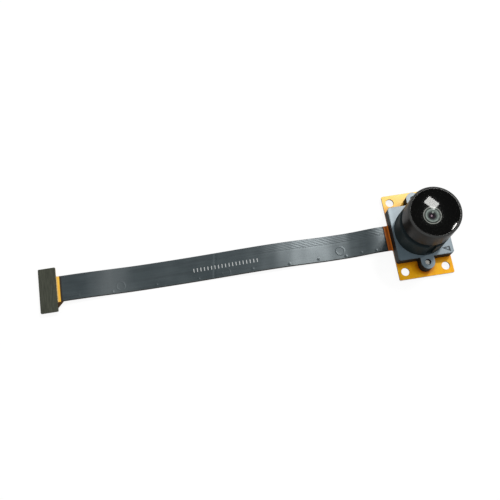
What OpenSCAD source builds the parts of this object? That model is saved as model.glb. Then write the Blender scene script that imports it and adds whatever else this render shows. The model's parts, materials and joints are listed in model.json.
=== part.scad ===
// Camera module on a flat flexible cable: a screw-in lens in a moulded holder, a sensor board
// with four mounting holes, and a ribbon that ends in a board-to-board connector.
// The lens axis is +Z, the ribbon runs along -X, and z = 0 is the surface the module rests on.

/* [Sensor board] */
// Length of the sensor board along Y
board_l = 26; // [24.6:0.1:30]
// Corner radius of the board
board_corner_r = 0.4; // [0.2:0.1:1]
// Thickness of the bare flexible circuit
flex_t = 0.15; // [0.1:0.01:0.25]
// Thickness of the stiffener plate under the sensor
stiffener_t = 0.5; // [0.3:0.05:0.8]
// Diameter of the four mounting holes
mount_hole_d = 2.4; // [1.8:0.1:2.8]
// Distance of the mounting holes' centres from the board's long edges
mount_edge_x = 2.1; // [1.6:0.1:2.4]
// Distance of the mounting holes' centres from the board's ends
mount_edge_y = 2.3; // [1.95:0.05:2.4]

/* [Image sensor] */
// Package width along X
sensor_w = 9.3; // [8:0.1:9.8]
// Package length along Y
sensor_l = 12; // [10:0.1:12.4]
// Package height without its cover glass
sensor_h = 1.5; // [1.2:0.05:1.7]
// Width of the package rim round the die cavity
sensor_rim = 0.8; // [0.5:0.05:1.2]
// Depth of the die cavity
die_cavity_depth = 0.9; // [0.6:0.05:1.1]
// Thickness of the sensor die
die_t = 0.4; // [0.2:0.05:0.5]
// Thickness of the cover glass
cover_glass_t = 0.6; // [0.4:0.05:0.7]

/* [Small components] */
// Width of the component strip on each side of the sensor
strip_w = 1.95; // [1.7:0.05:2.2]
// Number of capacitors in each strip
capacitor_count = 6; // [3:1:6]
// Spacing of the components along a strip
component_pitch = 0.95; // [0.8:0.05:1.05]
// Capacitor length along X
capacitor_l = 1; // [0.6:0.1:1.2]
// Capacitor width along Y
capacitor_w = 0.5; // [0.3:0.05:0.6]
// Capacitor height
capacitor_h = 0.5; // [0.3:0.05:0.6]
// Number of resistors in each strip
resistor_count = 3; // [1:1:3]
// Resistor height
resistor_h = 0.35; // [0.25:0.05:0.5]
// Side of each square regulator
regulator_w = 1.2; // [1:0.05:1.5]
// Height of each regulator
regulator_h = 0.6; // [0.4:0.05:0.8]

/* [Lens holder] */
// Width of the holder block and of the board along X
holder_w = 16.2; // [15.6:0.1:17.6]
// Length of the holder block along Y
holder_l = 16.2; // [15.6:0.1:16.6]
// Height of the holder block
holder_h = 3.8; // [3.4:0.1:4.4]
// Chamfer of the block's upright corners
holder_chamfer = 0.5; // [0.2:0.1:0.9]
// Chamfer round the block's top edge
holder_bevel = 0.12; // [0.05:0.01:0.25]
// Height of the sensor cavity inside the block
cavity_h = 2.9; // [2.5:0.1:3]
// Distance of the two ear holes' centres beyond the block's ends
ear_reach = 1.55; // [1.4:0.05:1.9]
// Radius of the two ears
ear_r = 2; // [1.6:0.1:2.4]
// Diameter of the ear holes
ear_hole_d = 1.65; // [1.4:0.05:2]
// Height of the collar above the block
collar_h = 6.85; // [5.5:0.05:8]
// Diameter of the collar where it leaves the block
collar_base_d = 15.2; // [14.6:0.1:15.5]
// Diameter of the collar at its rim
collar_rim_d = 14.96; // [14.4:0.02:15.3]
// Chamfer on the collar's rim
collar_chamfer = 0.2; // [0.05:0.05:0.4]
// Width of the locking slot in the collar
lock_slot_w = 1.1; // [0.8:0.1:1.6]
// Depth of the locking slot
lock_slot_depth = 0.6; // [0.3:0.1:0.9]
// Height of the locking slot's floor above the block
lock_slot_rise = 1.4; // [0.8:0.1:3]
// Direction of the locking slot about the lens axis, in degrees
lock_slot_angle = -86; // [-120:1:-60]

/* [Infrared filter] */
// Side of the square filter
filter_w = 8.6; // [8:0.1:9.4]
// Thickness of the filter
filter_t = 0.3; // [0.2:0.05:0.4]
// Gap round the filter in its recess
filter_gap = 0.1; // [0.05:0.01:0.2]
// Width of the ledge that the filter is glued to
filter_ledge = 0.5; // [0.3:0.05:0.8]

/* [Holder screws] */
// Height of the screw heads under the stiffener
screw_head_h = 0.9; // [0.7:0.05:1.1]
// Diameter of the screw heads
screw_head_d = 3.2; // [2.6:0.1:3.6]
// Length of a screw under its head
screw_len = 3.6; // [2.4:0.1:4]
// Radial gap between a screw's shank and its ear hole
screw_gap = 0.025; // [0.01:0.005:0.05]
// Radial gap round a screw in the board
screw_board_gap = 0.25; // [0.1:0.05:0.4]
// Width of the cross recess in a screw head
recess_w = 0.4; // [0.3:0.05:0.5]
// Span of the cross recess
recess_span = 1.7; // [1.2:0.1:2]
// Depth of the cross recess
recess_depth = 0.45; // [0.3:0.05:0.6]

/* [Lens barrel] */
// Diameter of the threaded shank over its crests
shank_d = 11.8; // [11.4:0.05:12.2]
// Radial running gap between the shank and the holder's bore
lens_gap = 0.05; // [0.02:0.01:0.1]
// Gap between the collar's rim and the lens head
focus_gap = 2.15; // [1:0.05:4]
// Diameter of the lens head at its lower end
head_base_d = 14.8; // [14.4:0.1:15.4]
// Diameter of the lens head at its front
head_front_d = 14.45; // [14.2:0.05:15]
// Chamfer at the lower end of the lens head
head_chamfer = 0.2; // [0.05:0.05:0.4]
// Height of the sloping bezel round the front element
bezel_h = 0.35; // [0.2:0.05:0.5]
// Height of the inner shoulder's underside above the head's lower end
shoulder_rise = 0.6; // [0.4:0.1:1.2]
// Thickness of the inner shoulder
shoulder_t = 0.8; // [0.6:0.1:1.2]
// Radius of the opening in the inner shoulder
shoulder_r = 2.9; // [2.8:0.05:3.2]
// Length of the barrel behind the retaining ring
tail_len = 0.5; // [0.2:0.1:1]

/* [Lens elements] */
// Radial gap between the elements or rings and the barrel
element_gap = 0.05; // [0.02:0.01:0.1]
// Radius of the front element
front_r = 6.7; // [6.4:0.05:6.8]
// Thickness of the front element at its edge
front_edge_t = 3.2; // [3:0.1:3.6]
// Rise of the front element's domed face
front_dome = 0.35; // [0.2:0.05:0.6]
// Radius of the hollow in the front element's rear face
hollow_r = 4.4; // [4.3:0.05:4.7]
// Depth of the hollow in the front element's rear face
hollow_depth = 2.3; // [2:0.1:2.5]
// Radius of the second element
second_r = 3.4; // [3.3:0.05:3.5]
// Thickness of the second element at its edge
second_t = 2.6; // [2.5:0.1:2.8]
// Radius of the polished dish in the second element
second_dish_r = 1.85; // [1.5:0.05:2.2]
// Depth of the polished dish in the second element
second_dish_depth = 0.7; // [0.3:0.1:0.9]
// Radius of the elements and rings behind the shoulder
rear_r = 4.35; // [4:0.05:4.6]
// Edge thickness of the third element
third_t = 1; // [0.8:0.1:1.2]
// Edge thickness of the fourth element
fourth_t = 0.9; // [0.7:0.1:1.1]
// Edge thickness of the fifth element
fifth_t = 1.1; // [0.9:0.1:1.3]

/* [Lens rings] */
// Height of the front spacer's body
front_spacer_h = 2.4; // [2.3:0.1:2.5]
// Outer radius of the front spacer
front_spacer_r = 4.95; // [4.8:0.05:5.3]
// Thickness of the lip that holds the second element
nose_lip_t = 0.2; // [0.1:0.05:0.3]
// Inner radius of that lip
nose_lip_r = 2.65; // [2.3:0.05:2.9]
// Outer radius of the front spacer's nose at its tip
nose_tip_r = 3.7; // [3.6:0.05:3.8]
// Inner radius of the rings behind the shoulder
ring_bore_r = 3.3; // [3.3:0.05:3.6]
// Thickness of the ring between the third element and the stop
stop_spacer_t = 1.1; // [0.9:0.1:1.4]
// Thickness of the aperture stop
stop_t = 0.1; // [0.05:0.05:0.2]
// Radius of the aperture
aperture_r = 0.95; // [0.6:0.05:1.5]
// Thickness of the ring between the stop and the fourth element
middle_spacer_t = 0.7; // [0.6:0.1:1]
// Thickness of the ring between the fourth and fifth elements
rear_spacer_t = 0.9; // [0.8:0.1:1.2]
// Thickness of the rear retaining ring
retainer_t = 1.2; // [0.8:0.1:1.5]
// Width of the spanner slots in the retaining ring
spanner_slot_w = 0.6; // [0.4:0.1:0.9]
// Depth of the spanner slots
spanner_slot_depth = 0.5; // [0.3:0.1:0.6]

/* [Ribbon and connector] */
// Width of the ribbon
ribbon_w = 7.64; // [6:0.02:8]
// Thickness of the ribbon with its shielding film
ribbon_t = 0.2; // [0.16:0.02:0.2]
// Fillet where the neck leaves the board
neck_fillet = 0.5; // [0.2:0.1:1]
// Length of bare circuit between the shielding film and the connector pad
throat_l = 1.05; // [0.8:0.05:1.5]
// Flare between the ribbon and the connector pad, on one side
pad_flare = 1.7; // [1.2:0.1:1.9]
// Length of the connector pad along Y
pad_l = 13.1; // [12.4:0.1:14]
// Width of the connector pad along X
pad_w = 5; // [4.5:0.1:5.4]
// Corner radius of the connector pad
pad_corner_r = 0.3; // [0.1:0.1:0.6]
// Thickness of the plate behind the connector
backing_t = 0.4; // [0.2:0.05:0.6]
// Height of the connector under the flexible circuit
connector_h = 1.5; // [1.2:0.1:1.5]
// Width of the connector housing along X
housing_w = 3.4; // [3:0.1:3.6]
// Length of the connector housing along Y
housing_l = 10.6; // [10.2:0.1:11.6]
// Wall thickness of the connector housing
housing_wall = 0.6; // [0.5:0.05:0.7]
// Thickness of the housing's floor against the circuit
housing_floor = 0.4; // [0.3:0.05:0.5]
// Width of the tongue in the middle of the socket
tongue_w = 0.7; // [0.5:0.05:0.9]
// Number of contacts in each row
contact_count = 20; // [10:1:20]
// Spacing of the contacts
contact_pitch = 0.4; // [0.35:0.05:0.45]
// Width of each contact
contact_w = 0.16; // [0.1:0.01:0.2]
// Thickness of the contact metal
contact_t = 0.1; // [0.08:0.01:0.15]
// Reach of the soldered contact feet beyond the housing
foot_reach = 0.45; // [0.2:0.05:0.5]

/* [Hidden] */

eps = 0.01;
fine = 96;
small = 48;

// Heights of the board's layers, from the resting surface up
stiffener_z = screw_head_h;
flex_z = stiffener_z + stiffener_t;
deck_z = flex_z + flex_t;
board_w = holder_w;
mount_x = board_w / 2 - mount_edge_x;
mount_y = board_l / 2 - mount_edge_y;

// Sensor cavity: the package with room at its ends and a component strip at its sides
sensor_end_gap = 0.6;
cavity_w = sensor_w + 2 * strip_w;
cavity_l = sensor_l + 2 * sensor_end_gap;
glass_inset = 0.35;
die_gap = 0.5;
strip_x = sensor_w / 2 + strip_w / 2;
terminal_share = 0.22;
regulator_end_gap = 0.4;

// Holder heights
ear_y = holder_l / 2 + ear_reach;
block_top_z = deck_z + holder_h;
rim_z = block_top_z + collar_h;
bore_r = shank_d / 2 + lens_gap;
ceiling_z = deck_z + cavity_h;
filter_seat_z = ceiling_z + filter_t + filter_gap;
window_w = filter_w - 2 * filter_ledge;

// Lens stack, worked out from the underside of the lens head
head_z = rim_z + focus_gap;
shoulder_z = head_z + shoulder_rise;
shoulder_top_z = shoulder_z + shoulder_t;
front_seat_z = shoulder_top_z + front_spacer_h;
bezel_top_z = front_seat_z + front_edge_t;
bezel_low_z = bezel_top_z - bezel_h;
second_top_z = shoulder_top_z + second_t;
third_z = shoulder_z - third_t;
stop_spacer_z = third_z - stop_spacer_t;
stop_z = stop_spacer_z - stop_t;
middle_spacer_z = stop_z - middle_spacer_t;
fourth_z = middle_spacer_z - fourth_t;
rear_spacer_z = fourth_z - rear_spacer_t;
fifth_z = rear_spacer_z - fifth_t;
retainer_z = fifth_z - retainer_t;
barrel_z = retainer_z - tail_len;
polished_r = 2.75;
polished_rear_r = 3.1;
rear_bulge = 0.4;
fourth_dish = 0.3;
second_rear_dish = 0.25;
element_bevel = 0.08;
nose_clearance = 0.25;
shank_chamfer = 0.3;

// Route of the ribbon's middle, as [x, z]: out of the board, down to the surface, over one
// low wave and up to the connector
ribbon_route = [[-9.45, 1.475], [-12, 1.4], [-14, 1.18], [-16, 0.82], [-18, 0.47], [-20, 0.22],
                [-22, 0.12], [-24, 0.1], [-27, 0.15], [-30, 0.36], [-34, 0.75], [-38, 1.08],
                [-42, 1.25], [-46, 1.27], [-50, 1.15], [-55, 0.9], [-60, 0.6], [-65, 0.34],
                [-70, 0.17], [-75, 0.1], [-80, 0.1], [-84, 0.2], [-88, 0.48], [-92, 0.86],
                [-96, 1.21], [-100, 1.46], [-105.15, 1.575]];
ribbon_start_x = ribbon_route[0][0];
ribbon_end_x = ribbon_route[len(ribbon_route) - 1][0];
ribbon_edge = 0.05;

// Connector end
tail_z = connector_h;
throat_corner_r = 0.3;
backing_z = tail_z + flex_t;
pad_x = ribbon_end_x - throat_l - pad_w / 2;
socket_w = housing_w - 2 * housing_wall;
socket_l = housing_l - 2 * housing_wall;
tongue_inset = 0.5;
contact_drop = 0.15;
contact_slot_gap = 0.02;

// Height of a spherical cap of radius r and rise s above its edge plane, at radius x
function cap_radius(r, s) = (r * r + s * s) / (2 * s);
function cap_rise(x, r, s) = sqrt(pow(cap_radius(r, s), 2) - x * x) - (cap_radius(r, s) - s);
function lens_rise(x, r, s) = s == 0 ? 0 : sign(s) * cap_rise(x, r, abs(s));

// Points of a polished face from the axis out to radius r, standing s above height z
function face_points(r, z, s, n = 14) = [for (i = [0:n]) [r * i / n, z + lens_rise(r * i / n, r, s)]];
function reversed(list) = [for (i = [len(list) - 1:-1:0]) list[i]];

// The eight-sided section of the ribbon, as [y, z] about its middle
ribbon_section = let (w = ribbon_w / 2, t = ribbon_t / 2, e = ribbon_edge)
    [[w, t - e], [w - e, t], [e - w, t], [-w, t - e], [-w, e - t], [e - w, -t], [w - e, -t], [w, e - t]];

module rounded_rect(w, l, r) {
    square([w - 2 * r, l], center = true);
    square([w, l - 2 * r], center = true);
    for (x = [-1, 1], y = [-1, 1])
        translate([x * (w / 2 - r), y * (l / 2 - r)]) circle(r = r, $fn = small);
}

// Mounting holes and screw holes that pass through the circuit and its stiffener
module board_holes() {
    for (x = [-1, 1], y = [-1, 1])
        translate([x * mount_x, y * mount_y]) circle(d = mount_hole_d, $fn = small);
    for (y = [-1, 1])
        translate([0, y * ear_y]) circle(r = ear_hole_d / 2 + screw_board_gap, $fn = small);
}

module board_outline() {
    difference() {
        rounded_rect(board_w, board_l, board_corner_r);
        board_holes();
    }
}

module box_at(w, l, h, x = 0, y = 0, z = 0) {
    translate([x - w / 2, y - l / 2, z]) cube([w, l, h]);
}

// A glass element: radius r, edge from z0 to z1, polished faces of their own radius and rise
module glass(r, z0, z1, front_r, front_s, rear_r, rear_s) {
    b = element_bevel;
    rotate_extrude($fn = fine)
        polygon(concat(face_points(front_r, z1, front_s),
                       [[r - b, z1], [r, z1 - b], [r, z0 + b], [r - b, z0]],
                       reversed(face_points(rear_r, z0, -rear_s))));
}

module ring(outer_r, inner_r, z, h) {
    translate([0, 0, z]) difference() {
        cylinder(r = outer_r, h = h, $fn = fine);
        translate([0, 0, -eps]) cylinder(r = inner_r, h = h + 2 * eps, $fn = fine);
    }
}

module flex_board() {
    color("orange") translate([0, 0, flex_z]) linear_extrude(flex_t) board_outline();
}

module board_stiffener() {
    color("peru") translate([0, 0, stiffener_z]) linear_extrude(stiffener_t) board_outline();
}

module sensor_package() {
    cavity = [sensor_w - 2 * sensor_rim, sensor_l - 2 * sensor_rim];
    color("dimgray") difference() {
        box_at(sensor_w, sensor_l, sensor_h, z = deck_z);
        box_at(cavity.x, cavity.y, die_cavity_depth + eps, z = deck_z + sensor_h - die_cavity_depth);
    }
}

module sensor_die() {
    margin = sensor_rim + die_gap;
    color("slategray")
        box_at(sensor_w - 2 * margin, sensor_l - 2 * margin, die_t, z = deck_z + sensor_h - die_cavity_depth);
}

module sensor_cover_glass() {
    color("lightcyan", 0.5)
        box_at(sensor_w - 2 * glass_inset, sensor_l - 2 * glass_inset, cover_glass_t, z = deck_z + sensor_h);
}

// A chip part: a body between two raised metal ends
module chip_part(l, w, h) {
    end = l * terminal_share;
    lip = 0.03;
    box_at(l - 2 * end, w - 2 * lip, h - lip);
    for (s = [-1, 1]) box_at(end, w, h, x = s * (l - end) / 2);
}

// Places count parts in each strip beside the sensor, the first at height y0
module strip_row(count, y0) {
    for (s = [-1, 1], i = [0:count - 1])
        translate([s * strip_x, y0 + i * component_pitch, deck_z]) children();
}

module capacitors() {
    color("tan") strip_row(capacitor_count, -cavity_l / 2 + component_pitch) chip_part(capacitor_l, capacitor_w, capacitor_h);
}

module resistors() {
    color("black")
        strip_row(resistor_count, -cavity_l / 2 + (capacitor_count + 1) * component_pitch)
            chip_part(capacitor_l, capacitor_w, resistor_h);
}

module regulators() {
    regulator_y = cavity_l / 2 - regulator_end_gap - regulator_w / 2;
    color("black") for (s = [-1, 1])
        box_at(regulator_w, regulator_w, regulator_h, x = s * strip_x, y = regulator_y, z = deck_z);
}

// Plan of the holder's block, with its chamfered corners pulled in by inset
module block_plan(inset) {
    w = holder_w / 2 - inset;
    l = holder_l / 2 - inset;
    c = holder_chamfer;
    polygon([[w - c, -l], [w, c - l], [w, l - c], [w - c, l], [c - w, l], [-w, l - c], [-w, c - l], [c - w, -l]]);
}

module ear(side) {
    root = holder_l / 2 - ear_r;
    translate([0, 0, deck_z]) {
        translate([0, side * ear_y, 0]) cylinder(r = ear_r, h = holder_h, $fn = small);
        box_at(2 * ear_r, ear_y - root, holder_h, y = side * (ear_y + root) / 2);
    }
}

module lens_holder() {
    color("#33393f") difference() {
        union() {
            translate([0, 0, deck_z]) linear_extrude(holder_h - holder_bevel) block_plan(0);
            translate([0, 0, deck_z]) linear_extrude(holder_h) block_plan(holder_bevel);
            for (side = [-1, 1]) ear(side);
            translate([0, 0, block_top_z - eps])
                cylinder(d1 = collar_base_d, d2 = collar_rim_d, h = collar_h - collar_chamfer + eps, $fn = fine);
            translate([0, 0, rim_z - collar_chamfer])
                cylinder(d1 = collar_rim_d, d2 = collar_rim_d - 2 * collar_chamfer, h = collar_chamfer, $fn = fine);
        }
        translate([0, 0, block_top_z]) cylinder(r = bore_r, h = collar_h + eps, $fn = fine);
        box_at(cavity_w, cavity_l, cavity_h + eps, z = deck_z - eps);
        box_at(filter_w + 2 * filter_gap, filter_w + 2 * filter_gap, filter_seat_z - ceiling_z + eps, z = ceiling_z - eps);
        box_at(window_w, window_w, holder_h, z = ceiling_z);
        for (side = [-1, 1]) translate([0, side * ear_y, deck_z - eps])
            cylinder(d = ear_hole_d, h = holder_h + 2 * eps, $fn = small);
        rotate([0, 0, lock_slot_angle]) translate([collar_rim_d / 2 - lock_slot_depth, -lock_slot_w / 2, block_top_z + lock_slot_rise])
            cube([collar_base_d, lock_slot_w, collar_h]);
    }
}

module holder_screws() {
    core_r = ear_hole_d / 2 - screw_gap;
    crown = 0.25;
    tip = 0.2;
    color("silver") for (side = [-1, 1]) translate([0, side * ear_y, 0]) difference() {
        union() {
            cylinder(d1 = screw_head_d - 2 * crown, d2 = screw_head_d, h = crown, $fn = small);
            translate([0, 0, crown]) cylinder(d = screw_head_d, h = screw_head_h - crown, $fn = small);
            translate([0, 0, screw_head_h - eps]) cylinder(r = core_r, h = screw_len - tip + eps, $fn = small);
            translate([0, 0, screw_head_h + screw_len - tip]) cylinder(r1 = core_r, r2 = core_r - tip, h = tip, $fn = small);
        }
        for (turn = [0, 90]) rotate([0, 0, turn]) box_at(recess_span, recess_w, recess_depth + eps, z = -eps);
    }
}

module ir_filter() {
    color("lightpink", 0.6) box_at(filter_w, filter_w, filter_t, z = filter_seat_z - filter_t);
}

// The barrel is turned from one bar: threaded shank, tapered head, stepped bore with a shoulder
module lens_barrel() {
    shank_r = shank_d / 2;
    rear_bore = rear_r + element_gap;
    spacer_bore = front_spacer_r + element_gap;
    front_bore = front_r + element_gap;
    base_r = head_base_d / 2;
    front_outer = head_front_d / 2;
    color("#2b2926") rotate_extrude($fn = fine) polygon([
        [rear_bore, barrel_z], [shank_r - shank_chamfer, barrel_z], [shank_r, barrel_z + shank_chamfer],
        [shank_r, head_z], [base_r - head_chamfer, head_z], [base_r, head_z + head_chamfer],
        [front_outer, bezel_low_z], [front_bore, bezel_top_z], [front_bore, front_seat_z],
        [spacer_bore, front_seat_z], [spacer_bore, shoulder_top_z], [shoulder_r, shoulder_top_z],
        [shoulder_r, shoulder_z], [rear_bore, shoulder_z]]);
}

module front_element() {
    color("#101416") glass(front_r, front_seat_z, bezel_top_z, front_r - element_bevel, front_dome, hollow_r, -hollow_depth);
}

// A cup that seats the second element, with a nose that reaches into the front element's hollow
module front_spacer() {
    tip_z = second_top_z + nose_lip_t;
    cup_r = second_r + element_gap;
    nose_root_r = hollow_r - nose_clearance;
    color("#202020") rotate_extrude($fn = fine) polygon([
        [cup_r, shoulder_top_z], [front_spacer_r, shoulder_top_z], [front_spacer_r, front_seat_z],
        [nose_root_r, front_seat_z], [nose_tip_r, tip_z], [nose_lip_r, tip_z],
        [nose_lip_r, second_top_z], [cup_r, second_top_z]]);
}

module second_element() {
    color("#7f8f88") glass(second_r, shoulder_top_z, second_top_z, second_dish_r, -second_dish_depth, polished_r, -second_rear_dish);
}

module third_element() {
    color("lightcyan", 0.5) glass(rear_r, third_z, shoulder_z, polished_r, rear_bulge, polished_rear_r, rear_bulge);
}

module stop_spacer() {
    color("#202020") ring(rear_r, ring_bore_r, stop_spacer_z, stop_spacer_t);
}

module aperture_stop() {
    color("#101010") ring(rear_r, aperture_r, stop_z, stop_t);
}

module middle_spacer() {
    color("#202020") ring(rear_r, ring_bore_r, middle_spacer_z, middle_spacer_t);
}

module fourth_element() {
    color("lightcyan", 0.5) glass(rear_r, fourth_z, middle_spacer_z, polished_rear_r, rear_bulge, polished_rear_r, -fourth_dish);
}

module rear_spacer() {
    color("#202020") ring(rear_r, ring_bore_r, rear_spacer_z, rear_spacer_t);
}

module fifth_element() {
    color("lightcyan", 0.5) glass(rear_r, fifth_z, rear_spacer_z, polished_rear_r, rear_bulge, polished_rear_r, rear_bulge);
}

module rear_retainer() {
    color("#202020") difference() {
        ring(rear_r, ring_bore_r, retainer_z, retainer_t);
        box_at(2 * rear_r + 1, spanner_slot_w, spanner_slot_depth + eps, z = retainer_z - eps);
    }
}

// Concave corner of radius r with its sharp point at the origin, opening towards -X and +Y
module fillet_2d(r) {
    difference() {
        translate([-r, 0]) square(r);
        translate([-r, r]) circle(r = r, $fn = small);
    }
}

// The bare stretch between the board and the shielding film, flared where it leaves the board
module flex_neck() {
    neck_l = -board_w / 2 - ribbon_start_x;
    color("chocolate") translate([0, 0, flex_z]) linear_extrude(flex_t) translate([-board_w / 2, 0]) {
        translate([-neck_l, -ribbon_w / 2]) square([neck_l, ribbon_w]);
        for (side = [0, 1]) mirror([0, side]) translate([0, ribbon_w / 2]) fillet_2d(neck_fillet);
    }
}

// The ribbon: its flat section carried along the route
module flex_ribbon() {
    n = len(ribbon_section);
    last = len(ribbon_route) - 1;
    points = [for (p = ribbon_route, s = ribbon_section) [p[0], s[0], p[1] + s[1]]];
    sides = [for (i = [0:last - 1], j = [0:n - 1]) let (k = (j + 1) % n)
        [i * n + j, i * n + k, (i + 1) * n + k, (i + 1) * n + j]];
    color("#465055") polyhedron(points,
        concat([[for (j = [n - 1:-1:0]) j]], sides, [[for (j = [0:n - 1]) last * n + j]]));
}

module pad_outline() {
    translate([pad_x, 0]) rounded_rect(pad_w, pad_l, pad_corner_r);
}

// The bare end of the circuit: a throat that widens into the connector's pad, with a wide flare on
// the -Y side that is cut off where the shielding film begins
module flex_tail() {
    throat_x = pad_x + pad_w / 2;
    color("gold") translate([0, 0, tail_z]) linear_extrude(flex_t) {
        pad_outline();
        translate([throat_x - pad_corner_r, -ribbon_w / 2]) square([throat_l + pad_corner_r, ribbon_w]);
        translate([throat_x, ribbon_w / 2]) mirror([1, 0]) fillet_2d(throat_corner_r);
        intersection() {
            mirror([0, 1]) translate([throat_x, ribbon_w / 2]) mirror([1, 0]) fillet_2d(pad_flare);
            translate([throat_x, -pad_l / 2]) square([throat_l, pad_l]);
        }
    }
}

module connector_backing() {
    color("#45463e") translate([0, 0, backing_z]) linear_extrude(backing_t) pad_outline();
}

// Profile of one contact in its row, as [x, z] from the housing's outer wall inwards:
// a soldered foot, a bar through the wall and a blade down the socket's side
module contact_profile(grow) {
    blade_x = housing_wall;
    foot_z = connector_h - contact_t;
    translate([-grow, 0]) polygon([
        [-foot_reach, foot_z], [-foot_reach, connector_h], [blade_x + contact_t + 2 * grow, connector_h],
        [blade_x + contact_t + 2 * grow, contact_drop], [blade_x, contact_drop], [blade_x, foot_z - grow],
        [-foot_reach, foot_z - grow]]);
}

module contact_row(grow) {
    for (i = [0:contact_count - 1], side = [0, 1])
        translate([pad_x, (i - (contact_count - 1) / 2) * contact_pitch, 0]) mirror([side, 0, 0])
            translate([-housing_w / 2, contact_w / 2 + grow, 0]) rotate([90, 0, 0])
                linear_extrude(contact_w + 2 * grow) contact_profile(grow);
}

module connector_housing() {
    color("ivory") difference() {
        box_at(housing_w, housing_l, connector_h, x = pad_x);
        difference() {
            box_at(socket_w, socket_l, connector_h - housing_floor + eps, x = pad_x, z = -eps);
            box_at(tongue_w, socket_l - 2 * tongue_inset, connector_h, x = pad_x, z = contact_drop);
        }
        contact_row(contact_slot_gap);
    }
}

module connector_contacts() {
    color("goldenrod") contact_row(0);
}

flex_board();
board_stiffener();
sensor_package();
sensor_die();
sensor_cover_glass();
capacitors();
resistors();
regulators();
lens_holder();
holder_screws();
ir_filter();
lens_barrel();
front_element();
front_spacer();
second_element();
third_element();
stop_spacer();
aperture_stop();
middle_spacer();
fourth_element();
rear_spacer();
fifth_element();
rear_retainer();
flex_neck();
flex_ribbon();
flex_tail();
connector_backing();
connector_housing();
connector_contacts();
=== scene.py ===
"""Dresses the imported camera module: camera, ribbon, moulded and turned pieces, finishes, floor and light.

Lengths inside this file are in millimetres in the row frame unless a name says otherwise.
Meshes are scaled to metres when they are put into Blender.
"""
import json
import math

import bmesh
import bpy
import numpy as np
from mathutils import Matrix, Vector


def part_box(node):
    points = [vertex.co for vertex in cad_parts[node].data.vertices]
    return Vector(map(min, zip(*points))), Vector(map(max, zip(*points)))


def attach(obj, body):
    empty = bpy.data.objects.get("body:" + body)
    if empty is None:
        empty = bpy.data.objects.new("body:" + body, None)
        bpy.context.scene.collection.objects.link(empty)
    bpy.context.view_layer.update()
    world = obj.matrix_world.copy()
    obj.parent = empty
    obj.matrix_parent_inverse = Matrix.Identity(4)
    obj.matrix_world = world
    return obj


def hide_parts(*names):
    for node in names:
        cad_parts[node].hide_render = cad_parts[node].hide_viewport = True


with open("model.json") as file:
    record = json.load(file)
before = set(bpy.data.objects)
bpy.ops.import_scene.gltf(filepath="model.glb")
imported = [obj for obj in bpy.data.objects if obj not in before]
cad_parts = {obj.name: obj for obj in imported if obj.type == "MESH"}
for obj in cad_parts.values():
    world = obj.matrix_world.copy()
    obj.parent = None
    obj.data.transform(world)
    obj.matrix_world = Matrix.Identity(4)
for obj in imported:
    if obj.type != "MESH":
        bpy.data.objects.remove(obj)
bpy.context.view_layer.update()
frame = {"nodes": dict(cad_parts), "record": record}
scene = bpy.context.scene

MM = 0.001
TAU = 2 * math.pi

# Sizes that repeat the part's source
BLOCK_HALF = 8.1
EAR_Y = 9.65
EAR_R = 2.0
BLOCK_TOP = 5.35
COLLAR_H = 6.85
FIT_GAP = 0.05
SHANK_R = 5.9
SHOULDER_RISE = 0.6
SHOULDER_T = 0.8
SHOULDER_R = 2.9
BEZEL_H = 0.35
DOME_H = 0.35
HOLLOW_R = 4.4
HOLLOW_DEPTH = 2.3
PAD_FLARE = 1.7
NECK_FILLET = 0.5


def node_box(name):
    """Lowest and highest corner of a CAD node, in millimetres."""
    low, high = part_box(name)
    return np.array(low) / MM, np.array(high) / MM


# ---------------------------------------------------------------- camera

CAMERA_PLACE = (-0.05720, -0.04860, 0.18333)
CAMERA_TURN = (0.278985, 0.002501, -0.157856)
CAMERA_LENS = 46.50


def make_camera():
    """The scene's camera, at a fixed place, turn and focal length."""
    camera = bpy.data.objects.new("camera", bpy.data.cameras.new("camera"))
    camera.data.lens = CAMERA_LENS
    camera.data.clip_start = 0.005
    camera.location = CAMERA_PLACE
    camera.rotation_euler = CAMERA_TURN
    scene.collection.objects.link(camera)
    scene.camera = camera


make_camera()

# ---------------------------------------------------------------- mesh making


def put_mesh(name, points, faces, smooth_angle=40):
    """A mesh object from points in millimetres and faces, smooth but for edges sharper than the angle."""
    mesh = bpy.data.meshes.new(name)
    mesh.from_pydata((np.asarray(points, float) * MM).tolist(), [], [list(f) for f in faces])
    work = bmesh.new()
    work.from_mesh(mesh)
    bmesh.ops.remove_doubles(work, verts=work.verts, dist=1e-8)
    bmesh.ops.dissolve_degenerate(work, edges=work.edges, dist=1e-8)
    bmesh.ops.recalc_face_normals(work, faces=work.faces)
    work.to_mesh(mesh)
    work.free()
    mesh.shade_smooth()
    mesh.set_sharp_from_angle(angle=math.radians(smooth_angle))
    piece = bpy.data.objects.new(name, mesh)
    scene.collection.objects.link(piece)
    return piece


def grid_faces(rows, columns, wrap_rows=False, wrap_columns=False):
    """Quads between neighbouring points of a grid whose points are numbered row by row."""
    r = np.arange(rows if wrap_rows else rows - 1)
    c = np.arange(columns if wrap_columns else columns - 1)
    r, c = np.meshgrid(r, c, indexing="ij")
    r2, c2 = (r + 1) % rows, (c + 1) % columns
    corners = [r * columns + c, r2 * columns + c, r2 * columns + c2, r * columns + c2]
    return np.stack(corners, axis=-1).reshape(-1, 4)


def tube_faces(rows, columns):
    """Quads along a tube of closed rows, and one face over each of its ends."""
    ends = [list(range(columns)), list(range((rows - 1) * columns, rows * columns))]
    return [*grid_faces(rows, columns, wrap_columns=True).tolist(), *ends]


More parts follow.
